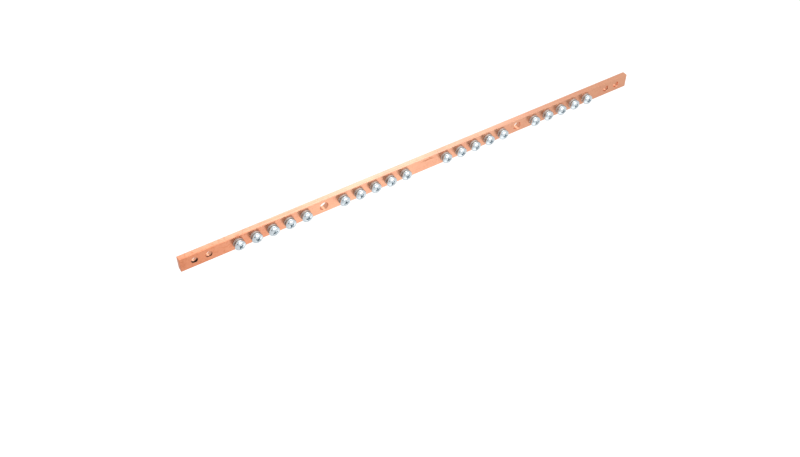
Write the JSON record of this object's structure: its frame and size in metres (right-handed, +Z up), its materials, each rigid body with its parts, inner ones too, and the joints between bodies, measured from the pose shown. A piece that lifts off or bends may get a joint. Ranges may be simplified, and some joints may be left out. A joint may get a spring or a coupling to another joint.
{
  "type": "rack grounding busbar",
  "caption": "Long slim drilled copper bar that bonds rack equipment to earth, with banks of cross-recess terminal screws, each on a split lock washer and flat washers.",
  "frame": {"origin": "centre of the bar's back face, halfway between the two outer end holes", "axes": "+X along the bar, +Y out of the back face towards the rack rail, -Y towards the installer (the screw heads' side), +Z up across the bar's height"},
  "size_m": [0.48, 0.0153, 0.014],
  "materials": {
    "copper_bar": "drawn bare copper, lightly oxidised",
    "screw_zinc": "bright blue-white zinc plate",
    "lock_washer_steel": "zinc plated spring steel",
    "flat_washer_zinc": "bright zinc plate"
  },
  "bodies": {
    "root": {"busbar": "copper_bar", "terminal_screw_01": "screw_zinc", "terminal_screw_02": "screw_zinc", "terminal_screw_03": "screw_zinc", "terminal_screw_04": "screw_zinc", "terminal_screw_05": "screw_zinc", "terminal_screw_06": "screw_zinc", "terminal_screw_07": "screw_zinc", "terminal_screw_08": "screw_zinc", "terminal_screw_09": "screw_zinc", "terminal_screw_10": "screw_zinc", "terminal_screw_11": "screw_zinc", "terminal_screw_12": "screw_zinc", "terminal_screw_13": "screw_zinc", "terminal_screw_14": "screw_zinc", "terminal_screw_15": "screw_zinc", "terminal_screw_16": "screw_zinc", "terminal_screw_17": "screw_zinc", "terminal_screw_18": "screw_zinc", "terminal_screw_19": "screw_zinc", "terminal_screw_20": "screw_zinc", "lock_washer_01": "lock_washer_steel", "lock_washer_02": "lock_washer_steel", "lock_washer_03": "lock_washer_steel", "lock_washer_04": "lock_washer_steel", "lock_washer_05": "lock_washer_steel", "lock_washer_06": "lock_washer_steel", "lock_washer_07": "lock_washer_steel", "lock_washer_08": "lock_washer_steel", "lock_washer_09": "lock_washer_steel", "lock_washer_10": "lock_washer_steel", "lock_washer_11": "lock_washer_steel", "lock_washer_12": "lock_washer_steel", "lock_washer_13": "lock_washer_steel", "lock_washer_14": "lock_washer_steel", "lock_washer_15": "lock_washer_steel", "lock_washer_16": "lock_washer_steel", "lock_washer_17": "lock_washer_steel", "lock_washer_18": "lock_washer_steel", "lock_washer_19": "lock_washer_steel", "lock_washer_20": "lock_washer_steel", "rear_flat_washers_bank_1": "flat_washer_zinc", "rear_flat_washers_bank_2": "flat_washer_zinc", "rear_flat_washers_bank_3": "flat_washer_zinc", "rear_flat_washers_bank_4": "flat_washer_zinc", "front_flat_washers_bank_1": "flat_washer_zinc", "front_flat_washers_bank_2": "flat_washer_zinc", "front_flat_washers_bank_3": "flat_washer_zinc", "front_flat_washers_bank_4": "flat_washer_zinc"}
  },
  "joints": []
}
